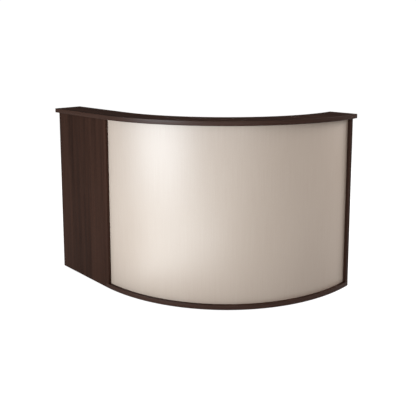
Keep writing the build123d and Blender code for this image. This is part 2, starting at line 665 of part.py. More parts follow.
def door():
    """The inset door with its hinges, handle and lock, and the holes its hinges need in the gable."""
    nodes = {}
    lock_z = DOOR_TOP - LOCK_DROP
    handle_x = FRONT_RIGHT - DOOR_HANDLE_INSET
    handle_z = DOOR_TOP - DOOR_HANDLE_DROP
    panel = block(FRONT_LEFT, FRONT_RIGHT, FRONT_INSIDE, CABINET_FACE, DOOR_LOW, DOOR_TOP)
    panel -= lock_hole(DOOR_LOCK_X, lock_z)
    panel -= screw_holes(handle_x, handle_z, True)
    for one in hinge_screw_set(1):
        panel -= one
    nodes["door_panel"] = panel
    lower_split, upper_split = HINGE_SPLITS
    cabinet_spans = [(0.0, lower_split), (upper_split, 1.0)]
    fixed = [hinge_leaf(level, -1, cabinet_spans) for level in HINGE_LEVELS]
    moving = [hinge_leaf(level, 1, [HINGE_SPLITS]) for level in HINGE_LEVELS]
    pins = []
    for level in HINGE_LEVELS:
        low, high = level - HINGE_HEIGHT / 2, level + HINGE_HEIGHT / 2
        pin = rod(HINGE_X, HINGE_Y, low - PIN_END, high + PIN_END, HINGE_PIN_RADIUS)
        pin += rod(HINGE_X, HINGE_Y, high, high + PIN_HEAD_HEIGHT, KNUCKLE_RADIUS)
        pins.append(pin)
    nodes["hinge_cabinet_leaves"] = Compound(children=fixed)
    nodes["hinge_door_leaves"] = Compound(children=moving)
    nodes["hinge_pins"] = Compound(children=pins)
    cabinet_screws = hinge_screw_set(-1)
    nodes["hinge_cabinet_screws"] = Compound(children=cabinet_screws)
    nodes["hinge_door_screws"] = Compound(children=hinge_screw_set(1))
    nodes["door_handle"] = bow_handle(handle_x, handle_z, True)
    nodes["door_handle_screws"] = Compound(children=handle_screws(handle_x, handle_z, True))
    nodes["door_lock_case"] = lock_case(DOOR_LOCK_X, lock_z)
    nodes["door_lock_plug"] = lock_plug(DOOR_LOCK_X, lock_z)
    holes = Part()
    for one in cabinet_screws:
        holes += one
    return nodes, holes


def grommets():
    """Cable liners in the worktop, each with a cap that turns to open or close its cable notch."""
    nodes = {}
    liners = []
    for side, angle in GROMMET_ANGLES.items():
        x, y = on_arc(GROMMET_RADIUS, angle)
        top = WORKTOP_HEIGHT + GROMMET_LIP
        liner = rod(x, y, WORKTOP_BOTTOM, WORKTOP_HEIGHT, GROMMET_BORE + GROMMET_WALL)
        flange = rod(x, y, WORKTOP_HEIGHT, top, GROMMET_FLANGE)
        rim = flange.edges().filter_by(GeomType.CIRCLE).group_by(Axis.Z)[-1]
        liner += fillet(rim, EDGE_ROUND)
        liner -= rod(x, y, WORKTOP_BOTTOM, top, GROMMET_BORE - LEDGE)
        cap_low = top - CAP_THICKNESS
        liner -= rod(x, y, cap_low, top, GROMMET_BORE)
        liners.append(liner)
        cap = rod(x, y, cap_low, top, GROMMET_BORE - GROMMET_CLEARANCE)
        notch_half = CAP_NOTCH_WIDTH / 2
        notch = block(
            x - notch_half,
            x + notch_half,
            y + GROMMET_BORE - CAP_NOTCH_DEPTH,
            y + GROMMET_BORE,
            cap_low,
            top,
        )
        nodes[f"grommet_cap_{side}"] = cap - notch
    nodes["grommet_liners"] = Compound(children=liners)
    return nodes


def connectors():
    """Bolts and sleeve nuts that hold the seam gable against the cabinet's inner gable."""
    bolts, nuts = [], []
    for y, z in connector_places():
        shank = rod_x(y, z, 0, BOARD, CONNECTOR_RADIUS)
        head = rod_x(y, z, BOARD, BOARD + CONNECTOR_HEAD_HEIGHT, CONNECTOR_HEAD)
        bolts.append(shank + head)
        sleeve = rod_x(y, z, -CARCASS_BOARD, 0, CONNECTOR_RADIUS)
        cap = rod_x(y, z, -CARCASS_BOARD - CONNECTOR_HEAD_HEIGHT, -CARCASS_BOARD, CONNECTOR_HEAD)
        nuts.append(sleeve + cap)
    return {"connector_bolts": Compound(children=bolts), "connector_nuts": Compound(children=nuts)}


def glides():
    """Nail-on glides under the base board, the gables and the straight front's sides."""
    places = [on_arc(FRONT_RADIUS - GLIDE_SETBACK, angle) for angle in GLIDE_ANGLES]
    gable_back = GABLE_BACK_RADIUS + GLIDE_INSET
    places.append((BOARD / 2, -gable_back))
    places.append((gable_back, -BOARD / 2))
    outer_x = -STRAIGHT_WIDTH + CARCASS_BOARD / 2
    inner_x = -CARCASS_BOARD / 2
    radius = min(GLIDE_RADIUS, CARCASS_BOARD / 2 - GLIDE_MARGIN)
    front_y = STRAIGHT_BACK + GLIDE_INSET
    for x in (outer_x, inner_x):
        places.append((x, front_y))
        places.append((x, -gable_back))
    return {"glides": Compound(children=[rod(x, y, 0, FLOOR_GAP, radius) for x, y in places])}


def build():
    """Every node by name."""
    nodes, pilots = curved_unit()
    nodes.update(transaction_shelf(pilots))
    door_nodes, hinge_holes = door()
    nodes.update(straight_unit(hinge_holes))
    nodes.update(drawer())
    nodes.update(door_nodes)
    nodes.update(grommets())
    nodes.update(connectors())
    nodes.update(glides())
    return nodes


os.makedirs("parts", exist_ok=True)
for name, solid in build().items():
    export_step(TO_ORIGIN * solid, f"parts/{name}.step")
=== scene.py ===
"""Looks for the curved checkout counter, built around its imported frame. Metres, +Z up."""

import json
import math

import bmesh
import bpy
import numpy as np
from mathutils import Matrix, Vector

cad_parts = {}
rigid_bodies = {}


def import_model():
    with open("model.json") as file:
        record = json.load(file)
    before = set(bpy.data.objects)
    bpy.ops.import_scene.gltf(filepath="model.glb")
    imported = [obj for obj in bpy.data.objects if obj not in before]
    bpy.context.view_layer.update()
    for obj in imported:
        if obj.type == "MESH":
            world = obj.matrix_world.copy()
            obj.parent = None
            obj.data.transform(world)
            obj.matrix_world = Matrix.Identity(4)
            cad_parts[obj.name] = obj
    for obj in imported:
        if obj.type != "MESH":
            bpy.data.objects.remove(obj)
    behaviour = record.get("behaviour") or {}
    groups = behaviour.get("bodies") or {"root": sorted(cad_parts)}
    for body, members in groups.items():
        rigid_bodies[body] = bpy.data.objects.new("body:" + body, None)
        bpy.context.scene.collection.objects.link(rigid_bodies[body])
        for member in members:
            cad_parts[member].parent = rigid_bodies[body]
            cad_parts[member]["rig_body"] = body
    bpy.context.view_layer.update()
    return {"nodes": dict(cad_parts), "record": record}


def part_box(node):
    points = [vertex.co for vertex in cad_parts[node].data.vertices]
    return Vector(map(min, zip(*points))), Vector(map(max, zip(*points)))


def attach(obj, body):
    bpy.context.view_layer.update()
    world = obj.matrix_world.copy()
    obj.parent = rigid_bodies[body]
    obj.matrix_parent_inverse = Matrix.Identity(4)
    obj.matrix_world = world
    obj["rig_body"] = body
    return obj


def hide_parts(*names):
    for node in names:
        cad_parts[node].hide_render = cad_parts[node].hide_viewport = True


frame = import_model()
SLOT_OF = {part["node"]: part["material_slot"] for part in frame["record"]["subparts"]}

# The front's arc: a quarter turn from the seam, where its normal is -Y, to the free end, at +X
BASE_LOW, BASE_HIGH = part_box("base_board_edge_band")
ARC_X, ARC_Y = BASE_LOW.x, BASE_HIGH.y
ARC_STEPS = 160
GABLE_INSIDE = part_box("seam_gable")[1].x - ARC_X

# Edges and small sizes
BAND_ROUND = 0.0009  # on the bands' edges; EASE is a bevel's width
SHEET_ROUND = 0.0004
BOARD_EASE = 0.0005
HARDWARE_EASE = 0.0003
SMOOTH_ANGLE = 35.0
THREAD_PITCH = 0.0011
THREAD_DEPTH = 0.0003
HANDLE_HALF_DEPTH = 0.0045
HANDLE_END = 0.006  # the rounded end of the bar, and how far in from it each post stands
HANDLE_POST = 0.005
FOOT_FLARE = 0.0014
FOOT_FLARE_HEIGHT = 0.0012
BAR_FLARE = 0.0008
LOCK_BORE = 0.00605
LOCK_BARREL = 0.009
LOCK_NUT = 0.0025
LOCK_FLANGE = 0.002
LOCK_RIM = 0.0012
LOCK_DISH = 0.0015
LINER_LIP = 0.002
LINER_SEAT = 0.0035  # how far the cap's seat lies below the liner's top
GLIDE_ROUND = 0.002

# Camera, its picture shifted so that its verticals lean in less
CAMERA_PLACE = (2.520, -2.519, 1.545)
CAMERA_TURN = 44.07  # degrees to the left of +Y
CAMERA_DIP = -6.92
CAMERA_LENS = 46.06
CAMERA_SHIFT = -0.22

# Finishes: tone scales a colour, gloss is the lowest roughness, shine is the specular level
BOARD_TONE = 0.97
BOARD_GLOSS = 0.42
BOARD_SHINE = 0.1
# The bands are lighter than the boards: partly the edge band's own tint, partly a painted highlight along
# the lit front edges
BAND_TONE_AND_HIGHLIGHT = 1.2
BAND_GLOSS = 0.36
BAND_SHINE = 0.3
NICKEL = (0.62, 0.60, 0.56)

# Studio
FILL_COLOUR = (1.0, 0.968, 0.932, 1.0)
FILL_STRENGTH = 0.46
GLOSS_LOW = 0.02  # what a glossy surface sees of the studio at the horizon, and higher up
GLOSS_HIGH = 0.5
GLOSS_RISE = 0.25  # where, from the horizon at 0 to overhead at 1, it starts to brighten
BACKDROP_STRENGTH = 1.05
FLOOR_HALF = 40.0
FLOOR_GLOW = 0.19  # the floor's own light on the counter, and as the camera sees it
FLOOR_SEEN = 0.93
KEY_HUE = (0.85, 0.932, 1.0)
GLOW_HUE = (0.86, 0.95, 1.0)


# ---------------------------------------------------------------- meshes from arrays


def link(mesh, name, body):
    piece = bpy.data.objects.new(name, mesh)
    bpy.context.scene.collection.objects.link(piece)
    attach(piece, body)
    return piece


def mesh_piece(name, points, faces, body, uvs=None):
    """An object from an (n, 3) array and a list of faces, doubles merged and every face outwards.
    uvs holds one (u, v) row for each corner of each face, in the faces' order."""
    mesh = bpy.data.meshes.new(name)
    mesh.from_pydata(np.asarray(points, float).reshape(-1, 3).tolist(), [], faces)
    if uvs is not None:
        mesh.uv_layers.new(name="along").data.foreach_set("uv", np.asarray(uvs, np.float32).ravel())
    shape = bmesh.new()
    shape.from_mesh(mesh)
    bmesh.ops.remove_doubles(shape, verts=shape.verts, dist=1e-6)
    bmesh.ops.recalc_face_normals(shape, faces=shape.faces)
    shape.to_mesh(mesh)
    shape.free()
    mesh.shade_smooth()
    mesh.set_sharp_from_angle(angle=math.radians(SMOOTH_ANGLE))
    return link(mesh, name, body)


def grid_faces(rows, columns, start=0):
    """Quads of a grid of rows by columns whose last column joins the first."""
    i, j = np.meshgrid(np.arange(rows - 1), np.arange(columns), indexing="ij")
    k = (j + 1) % columns
    quads = [i * columns + j, i * columns + k, (i + 1) * columns + k, (i + 1) * columns + j]
    return (np.stack(quads, -1).reshape(-1, 4) + start).tolist()


def tube_faces(rows, columns, start=0):
    """Quads of a closed profile carried along a path, with a face over each end."""
    first = np.arange(columns) + start
    last = first + (rows - 1) * columns
    return grid_faces(rows, columns, start) + [first[::-1].tolist(), last.tolist()]


def tube_uvs(lengths, profile):
    """Corner coordinates for tube_faces: u along the path, v round the profile, the ends laid flat."""
    closed = np.concatenate([profile, profile[:1]])
    round_it = np.concatenate([[0], np.cumsum(np.hypot(*np.diff(closed, axis=0).T))])
    i, j = np.meshgrid(np.arange(len(lengths) - 1), np.arange(len(profile)), indexing="ij")
    u = np.stack([lengths[i], lengths[i], lengths[i + 1], lengths[i + 1]], -1)
    v = np.stack([round_it[j], round_it[j + 1], round_it[j + 1], round_it[j]], -1)
    sides = np.stack([u, v], -1).reshape(-1, 2)
    return np.concatenate([sides, profile[::-1], profile])


def rounded_rectangle(a0, a1, b0, b1, radius, steps=4):
    """The closed outline a0..a1 by b0..b1, each corner a quarter circle of the radius."""
    turn = np.radians(np.linspace(0, 90, steps + 1))
    corners = [
        (a1 - radius, b1 - radius, 0.0),
        (a0 + radius, b1 - radius, 0.5 * math.pi),
        (a0 + radius, b0 + radius, math.pi),
        (a1 - radius, b0 + radius, 1.5 * math.pi),
    ]
    quarters = [
        np.stack([a + radius * np.cos(turn + start), b + radius * np.sin(turn + start)], -1)
        for a, b, start in corners
    ]
    return np.concatenate(quarters)


def points_of(node):
    return np.array([vertex.co for vertex in frame["nodes"][node].data.vertices])


def radii_of(node):
    """The smallest and largest distance of a node's arc corners from the front's own centre."""
    x, y, _ = (points_of(node) - [ARC_X, ARC_Y, 0]).T
    on_arc = (x > -1e-6) & (y < 1e-6)
    spread = np.hypot(x, y)[on_arc]
    return spread.min(), spread.max()


def solids_of(node):
    """The corners of each separate solid of a node, found by joining the corners that touch. Solids and
    corners are in the order of the corners' own numbers, so that every run gives the same."""
    shape = bmesh.new()
    shape.from_mesh(frame["nodes"][node].data)
    bmesh.ops.remove_doubles(shape, verts=shape.verts, dist=1e-6)
    shape.verts.index_update()
    places = np.array([v.co[:] for v in shape.verts])
    near = [{edge.other_vert(v).index for edge in v.link_edges} for v in shape.verts]
    shape.free()
    left = set(range(len(places)))
    solids = []
    while left:
        solid = edge_of_known = {min(left)}
        while edge_of_known:
            edge_of_known = set().union(*(near[corner] for corner in edge_of_known)) - solid
            solid = solid | edge_of_known
        left -= solid
        solids.append(places[sorted(solid)])
    return solids


def front_run(left, past_end):
    """The counter's plan line as feet and outward normals: a straight run from x = left, the arc, and a
    straight stretch past its free end. A point of the front stands at foot + radius * normal."""
    turn = np.radians(np.linspace(0, 90, ARC_STEPS + 1))
    foot = np.zeros((ARC_STEPS + 1, 2))
    normal = np.stack([np.sin(turn), -np.cos(turn)], -1)
    if left < 0:
        foot = np.concatenate([[[left, 0]], foot])
        normal = np.concatenate([normal[:1], normal])
    if past_end > 0:
        foot = np.concatenate([foot, [[0, past_end]]])
        normal = np.concatenate([normal, normal[-1:]])
    return foot + [ARC_X, ARC_Y], normal


def run_piece(name, node, edge):
    """A board or band that follows the front: its rounded section, radius by height, carried along the
    plan line, as far each way as the node that it stands for."""
    low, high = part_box(node)
    profile = rounded_rectangle(*radii_of(node), low.z, high.z, edge)
    foot, normal = front_run(low.x - ARC_X, max(high.y - ARC_Y, 0.0))
    plan = foot[:, None, :] + normal[:, None, :] * profile[None, :, :1]
    height = np.broadcast_to(profile[None, :, 1:], (len(foot), len(profile), 1))
    outermost = foot + normal * profile[:, 0].max()
    steps = np.hypot(*np.diff(outermost, axis=0).T)
    uvs = tube_uvs(np.concatenate([[0], np.cumsum(steps)]), profile)
    faces = tube_faces(len(foot), len(profile))
    points = np.concatenate([plan, height], -1)
    piece = mesh_piece(name, points, faces, "counter", uvs)
    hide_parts(node)
    return piece


def bent_panel(name, node, start=0.0, end=1.0):
    """A panel bent round the arc between the gables. Every point of its rounded section sweeps from the
    seam gable's inner face to the end gable's, the angle where radius * sin(angle) is the gable's face,
    or over the share of that way between start and end."""
    low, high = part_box(node)
    profile = rounded_rectangle(*radii_of(node), low.z, high.z, SHEET_ROUND, steps=3)
    radius = profile[:, 0]
    first = np.arcsin(GABLE_INSIDE / radius)
    share = np.linspace(start, end, 2 * ARC_STEPS + 1)
    turn = first + share[:, None] * (0.5 * math.pi - 2 * first)
    height = np.broadcast_to(profile[:, 1], turn.shape)
    points = np.stack([ARC_X + radius * np.sin(turn), ARC_Y - radius * np.cos(turn), height], -1)
    uvs = tube_uvs(share * 0.5 * math.pi * radius.max(), profile)
    piece = mesh_piece(name, points, tube_faces(*turn.shape), "counter", uvs)
    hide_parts(node)
    return piece


def frame_round(axis):
    """Two directions square to an axis and to each other."""
    axis = np.asarray(axis, float)
    helper = np.array([0, 0, 1.0]) if abs(axis[2]) < 0.9 else np.array([1.0, 0, 0])
    side = np.cross(helper, axis)
    side /= np.linalg.norm(side)
    return side, np.cross(axis, side)


def turned(centre, axis, rise, radius):
    """Points of a turned shape: centre + rise * axis + radius * (cos(angle) * side + sin(angle) * up). rise
    has one value for each ring, or one for each point of it, and radius is an array of rings by angles."""
    radius = np.asarray(radius, float)
    side, up = frame_round(axis)
    angle = np.linspace(0, 2 * math.pi, radius.shape[1], endpoint=False)
    ring = np.cos(angle)[:, None] * side + np.sin(angle)[:, None] * up
    rise = np.asarray(rise, float)
    rise = rise[:, None] if rise.ndim == 1 else rise
    rise = np.broadcast_to(rise, radius.shape)[..., None] * np.asarray(axis, float)
    return np.asarray(centre, float) + rise + radius[..., None] * ring[None]


def turned_piece(name, node, shapes, closed_line=False):
    """One piece from several turned shapes. closed_line joins each shape's last ring to its first, as on
    a tube with a wall; otherwise a face closes each end."""
    points, faces = [], []
    for shape in shapes:
        rows, columns = shape.shape[:2]
        start = sum(len(done) for done in points)
        if closed_line:
            shape = np.concatenate([shape, shape[:1]])
            faces += grid_faces(rows + 1, columns, start)
        else:
            faces += tube_faces(rows, columns, start)
        points.append(shape.reshape(-1, 3))
    body = frame["nodes"][node]["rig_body"]
    piece = mesh_piece(name, np.concatenate(points), faces, body)
    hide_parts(node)
    return piece


def rings(line, columns):
    """Rise and radius arrays for a turned shape, from a list of (radius, rise) points."""
    line = np.array(line, float)
    return line[:, 1], np.repeat(line[:, :1], columns, axis=1)


def eased_copy(node, width, name=None):
    """A node's own shape with its flat faces joined and its edges eased by a small bevel."""
    source = frame["nodes"][node]
    mesh = source.data.copy()
    mesh.materials.clear()
    shape = bmesh.new()
    shape.from_mesh(mesh)
    bmesh.ops.remove_doubles(shape, verts=shape.verts, dist=1e-5)
    flat = math.radians(0.3)
    bmesh.ops.dissolve_limit(shape, angle_limit=flat, verts=shape.verts, edges=shape.edges)
    shape.to_mesh(mesh)
    shape.free()
    mesh.shade_smooth()
    mesh.set_sharp_from_angle(angle=math.radians(SMOOTH_ANGLE))
    piece = link(mesh, name or "eased_" + node, source["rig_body"])
    bevel = piece.modifiers.new("eased_edges", "BEVEL")
    bevel.width = width
    bevel.segments = 2
    bevel.limit_method = "ANGLE"
    bevel.angle_limit = math.radians(SMOOTH_ANGLE)
    bevel.harden_normals = True
    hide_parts(node)
    return piece


# ---------------------------------------------------------------- finishes


class Finish:
    """One material, with short ways to add the nodes that make it."""

    def __init__(self, name):
        self.material = bpy.data.materials.new(name)
        self.material.use_nodes = True
        self.tree = self.material.node_tree
        self.surface = self.tree.nodes["Principled BSDF"]

    def put(self, node, key, value):
        if isinstance(value, bpy.types.NodeSocket):
            self.tree.links.new(value, node.inputs[key])
        else:
            node.inputs[key].default_value = value

    def node(self, kind, inputs, **settings):
        made = self.tree.nodes.new(kind)
        for key, value in settings.items():
            setattr(made, key, value)
        for key, value in inputs.items():
            self.put(made, key, value)
        return made

    def place(self, scale=(1, 1, 1), shift=(0, 0, 0), source="Object"):
        """The piece's own coordinates, stretched and moved."""
        own = self.node("ShaderNodeTexCoord", {}).outputs[source]
        inputs = {"Vector": own, "Scale": scale, "Location": shift}
        return self.node("ShaderNodeMapping", inputs).outputs["Vector"]

    def noise(self, vector, scale=1.0, detail=4.0, rough=0.55, swirl=0.0):
        inputs = {"Vector": vector, "Scale": scale, "Detail": detail, "Roughness": rough}
        inputs["Distortion"] = swirl
        return self.node("ShaderNodeTexNoise", inputs).outputs["Fac"]

    def spread(self, value, low, high, to_low=0.0, to_high=1.0):
        """low..high of a value as to_low..to_high, held at its ends."""
        inputs = {"Value": value, "From Min": low, "From Max": high, "To Min": to_low, "To Max": to_high}
        return self.node("ShaderNodeMapRange", inputs).outputs["Result"]

    def mix(self, share, first, second):
        """first where the share is 0, second where it is 1."""
        inputs = {0: share, 6: first, 7: second}
        return self.node("ShaderNodeMix", inputs, data_type="RGBA").outputs[2]

    def sum_of(self, first, first_share, second, second_share):
        scaled = self.node("ShaderNodeMath", {0: second, 1: second_share}, operation="MULTIPLY")
        inputs = {0: first, 1: first_share, 2: scaled.outputs[0]}
        return self.node("ShaderNodeMath", inputs, operation="MULTIPLY_ADD").outputs[0]

    def bump(self, height, distance, strength):
        inputs = {"Height": height, "Distance": distance, "Strength": strength}
        self.put(self.surface, "Normal", self.node("ShaderNodeBump", inputs).outputs["Normal"])

    def surface_values(self, **values):
        for key, value in values.items():
            self.put(self.surface, key.replace("_", " "), value)


def tint(red, green, blue, tone=1.0):
    return (red * tone, green * tone, blue * tone, 1.0)


def along(axis, across, lengthwise):
    """A scale for each axis: small along the grain, large across it."""
    scale = [across] * 3
    scale["XYZ".index(axis)] = lengthwise
    return tuple(scale)


def wenge(name, grain, tone=BOARD_TONE, gloss=BOARD_GLOSS, shine=BOARD_SHINE, source="Object"):
    """Dark wenge decor: broad brown streaks, finer lines and short open pores along the grain. Each layer
    is shifted, so that their patterns don't fall together."""
    f = Finish(name)
    broad = f.noise(f.place(along(grain, 15, 0.35), source=source), 1.0, 3.0, 0.5, 0.3)
    streak = f.noise(f.place(along(grain, 95, 1.1), (3, 1, 2), source), 1.0, 4.0, 0.6)
    line = f.noise(f.place(along(grain, 430, 5.0), (7, 4, 9), source), 1.0, 2.0, 0.5)
    pore = f.noise(f.place(along(grain, 1100, 40), (1, 8, 5), source), 1.0, 2.0, 0.5)
    pore = f.spread(pore, 0.60, 0.70)
    figure = f.sum_of(broad, 0.6, streak, 0.4)
    dark, light = tint(0.0168, 0.0055, 0.0026, tone), tint(0.051, 0.0208, 0.0126, tone)
    base = f.mix(f.spread(figure, 0.38, 0.62), dark, light)
    base = f.mix(f.spread(line, 0.35, 0.75, 0.0, 0.4), base, tint(0.063, 0.0312, 0.0215, tone))
    base = f.mix(f.spread(pore, 0, 1, 0.0, 0.7), base, tint(0.0085, 0.0040, 0.0028, tone))
    f.surface_values(Base_Color=base, Roughness=f.spread(streak, 0.3, 0.7, gloss, gloss + 0.12))
    f.surface_values(Specular_IOR_Level=shine)
    f.bump(f.sum_of(line, 0.5, pore, -0.6), 0.00015, 0.5)
    return f.material


def pearl(name):
    """Champagne pearl laminate: a warm body with fine mica flake under a wide satin lustre."""
    f = Finish(name)
    flake = f.noise(f.place(), 2400.0, 2.0, 0.7)
    hair = f.noise(f.place((240, 3.0, 1), source="UV"), 1.0, 3.0, 0.6)
    cloud = f.noise(f.place((1, 1, 0.5)), 2.6, 3.0, 0.5)
    body = f.mix(f.spread(cloud, 0.3, 0.7), tint(0.510, 0.392, 0.308), tint(0.538, 0.419, 0.332))
    body = f.mix(f.spread(hair, 0.3, 0.75, 0.0, 0.35), body, tint(0.62, 0.53, 0.44))
    body = f.mix(f.spread(flake, 0.55, 0.78, 0.0, 0.5), body, tint(0.80, 0.75, 0.68))
    f.surface_values(Base_Color=body, Roughness=f.spread(flake, 0.3, 0.7, 0.46, 0.58))
    f.surface_values(Specular_IOR_Level=1.0, Coat_Weight=1.0, Coat_Roughness=0.5, Coat_IOR=1.85)
    f.bump(f.sum_of(flake, 0.7, hair, 0.3), 0.00002, 0.4)
    return f.material


def melamine(name):
    """Matte light grey melamine with a faint pebble and a few specks."""
    f = Finish(name)
    speck = f.noise(f.place(), 1400.0, 2.0, 0.6)
    wide = f.noise(f.place(), 14.0, 4.0, 0.5)
    base = f.mix(f.spread(wide, 0.3, 0.7), tint(0.40, 0.385, 0.36), tint(0.44, 0.425, 0.40))
    base = f.mix(f.spread(speck, 0.62, 0.75, 0.0, 0.3), base, tint(0.27, 0.255, 0.235))
    f.surface_values(Base_Color=base, Roughness=f.spread(speck, 0.3, 0.7, 0.5, 0.62))
    f.bump(speck, 0.00005, 0.5)
    return f.material


def metal(name, colour, rough, grain, spangle=0.0):
    """Metal with hairlines along its grain, and a soft mottled bloom where it is zinc plated."""
    f = Finish(name)
    hair = f.noise(f.place(along(grain, 1500, 18)), 1.0, 3.0, 0.6)
    bloom = f.noise(f.place(), 90.0, 4.0, 0.6)
    base = f.mix(f.spread(bloom, 0.3, 0.7), tint(*colour, 0.93 - spangle), tint(*colour))
    f.surface_values(Base_Color=base, Metallic=1.0, Roughness=f.spread(hair, 0.3, 0.7, rough, rough + 0.1))
    f.bump(hair, 0.00003, 0.4)
    return f.material


def moulded(name, colour, rough, scale):
    """Dark moulded plastic or powder coat, with a fine even grain."""
    f = Finish(name)
    grain = f.noise(f.place(), scale, 3.0, 0.6)
    wear = f.noise(f.place(), 45.0, 3.0, 0.5)
    base = f.mix(f.spread(wear, 0.3, 0.7), tint(*colour, 0.8), tint(*colour))
    f.surface_values(Base_Color=base, Roughness=f.spread(grain, 0.3, 0.7, rough, rough + 0.12))
    f.bump(grain, 0.00007, 0.5)
    return f.material


BOARD_FINISH = {axis: wenge("wenge_grain_" + axis.lower(), axis) for axis in "XZ"}
BAND_LOOK = (BAND_TONE_AND_HIGHLIGHT, BAND_GLOSS, BAND_SHINE)
BAND_FINISH = wenge("wenge_band_bent", "X", *BAND_LOOK, source="UV")
STRAIGHT_BAND_FINISH = {
    "shelf_end_edge_bands": wenge("wenge_band_y", "Y", *BAND_LOOK),
    "straight_worktop_edge_band": wenge("wenge_band_x", "X", *BAND_LOOK),
}
HANDLE_FINISH = {
    "drawer_handle": metal("brushed_nickel_x", NICKEL, 0.26, "X"),
    "door_handle": metal("brushed_nickel_z", NICKEL, 0.26, "Z"),
}
FINISH = {
    "pearl_facing": pearl("pearl_laminate"),
    "grey_melamine": melamine("grey_melamine"),
    "slide_steel": metal("zinc_plated_sheet", (0.60, 0.62, 0.64), 0.28, "Y", 0.12),
    "bracket_paint": moulded("black_powder_coat", (0.024, 0.023, 0.022), 0.4, 700.0),
    "zinc_screws": metal("zinc_screw", (0.58, 0.58, 0.56), 0.28, "Z", 0.10),
    "nickel_hardware": metal("nickel_plate", (0.56, 0.53, 0.48), 0.22, "Z", 0.04),
    "lock_chrome": metal("lock_chrome", (0.72, 0.72, 0.73), 0.08, "Z"),
    "dark_plastic": moulded("dark_moulded_plastic", (0.022, 0.019, 0.017), 0.42, 1700.0),
}
LENGTHWISE_BOARDS = [
    "transaction_shelf", "curved_worktop", "straight_worktop", "base_board", "plinth_board",
    "drawer_front", "cabinet_divider", "lock_rail",
]


def finish_for(node):
    """The finish of a node: boards by their grain's direction, the rest by their slot."""
    slot = SLOT_OF[node]
    if slot == "wenge_board":
        return BOARD_FINISH["X" if node in LENGTHWISE_BOARDS else "Z"]
    if slot == "wenge_edge_band":
        return STRAIGHT_BAND_FINISH.get(node, BAND_FINISH)
    return HANDLE_FINISH.get(node) or FINISH[slot]


def paint(piece, node):
    piece.data.materials.clear()
    piece.data.materials.append(finish_for(node))


# ---------------------------------------------------------------- the counter's pieces


def build_front():
    """The pearl facing, the bent core behind it, and every board and band that follows the arc."""
    paint(bent_panel("pearl_facing_sheet", "pearl_front_facing"), "pearl_front_facing")
    paint(bent_panel("bent_core_left", "front_core_panel_left", 0.0, 0.5), "front_core_panel_left")
    paint(bent_panel("bent_core_right", "front_core_panel_right", 0.5, 1.0), "front_core_panel_right")
    for node in ("transaction_shelf", "base_board"):
        paint(run_piece("arched_" + node, node, SHEET_ROUND), node)
    bands = (
        "shelf_front_edge_band", "shelf_back_edge_band", "base_board_edge_band", "curved_worktop_edge_band",
    )
    for node in bands:
        paint(run_piece("rounded_" + node, node, BAND_ROUND), node)


def build_boards():
    """Flat boards and straight bands with eased edges."""
    boards = [
        "straight_front_panel", "seam_gable", "end_gable", "outer_gable", "inner_gable", "plinth_board",
        "lock_rail", "cabinet_divider", "cabinet_bottom", "adjustable_shelf", "worktop_support_rib",
        "shelf_support_rib", "straight_worktop", "door_panel", "drawer_front", "drawer_left_side",
        "drawer_right_side", "drawer_back", "drawer_bottom", "shelf_end_edge_bands",
        "straight_worktop_edge_band",
    ]
    for node in boards:
        paint(eased_copy(node, BOARD_EASE), node)


def build_sheet_metal():
    """Brackets, hinge leaves, slide channels, lock plugs and grommet caps, with their edges eased."""
    nodes = [
        "board_brackets", "hinge_cabinet_leaves", "hinge_door_leaves", "slide_cabinet_channels",
        "slide_middle_channels", "slide_drawer_channels", "drawer_lock_plug", "door_lock_plug",
        "grommet_cap_left", "grommet_cap_right",
    ]
    for node in nodes:
        paint(eased_copy(node, HARDWARE_EASE), node)


def bow_handle(node, way):
    """A bow handle: a bar whose section is the superellipse |a/w|^4 + |b/d|^4 = 1 and closes at its ends
    as the quarter curve (1 - t^4)^(1/4), on two turned posts that flare into a foot and into the bar."""
    low, high = (np.array(corner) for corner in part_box(node))
    middle = (low + high) / 2
    long_axis = np.eye(3)[way]
    wide_axis = np.eye(3)[2 - way]
    half_length = (high - low)[way] / 2
    half_width = (high - low)[2 - way] / 2
    bar_height = high[1] - HANDLE_HALF_DEPTH
    straight = half_length - HANDLE_END
    offset = straight + HANDLE_END * (1 - np.linspace(1, 0, 10) ** 2)
    offset = np.concatenate([-offset[::-1], offset])
    past = np.clip((np.abs(offset) - straight) / HANDLE_END, 0, 0.9995)
    shrink = (1 - past**4) ** 0.25
    angle = np.linspace(0, 2 * math.pi, 48, endpoint=False)
    section = np.sign(np.cos(angle)) * np.abs(np.cos(angle)) ** 0.5
    depth = np.sign(np.sin(angle)) * np.abs(np.sin(angle)) ** 0.5
    centre = np.array([middle[0], bar_height, middle[2]])
    bar = centre + offset[:, None, None] * long_axis
    bar = bar + (shrink[:, None] * section * half_width)[..., None] * wide_axis
    bar = bar + (shrink[:, None] * depth * HANDLE_HALF_DEPTH)[..., None] * np.array([0, 1.0, 0])
    shapes = [bar]
    height = bar_height - low[1]
    share = np.linspace(0, 1, 24)
    foot_flare = FOOT_FLARE * np.exp(-((share * height) / FOOT_FLARE_HEIGHT) ** 2)
    post = HANDLE_POST + foot_flare + BAR_FLARE * share**6
    for side in (-1, 1):
        foot = np.array([middle[0], low[1], middle[2]]) + side * straight * long_axis
        reach = np.repeat(post[:, None], 40, axis=1)
        shapes.append(turned(foot, (0, 1, 0), share * height, reach))
    return turned_piece("bow_" + node, node, shapes)


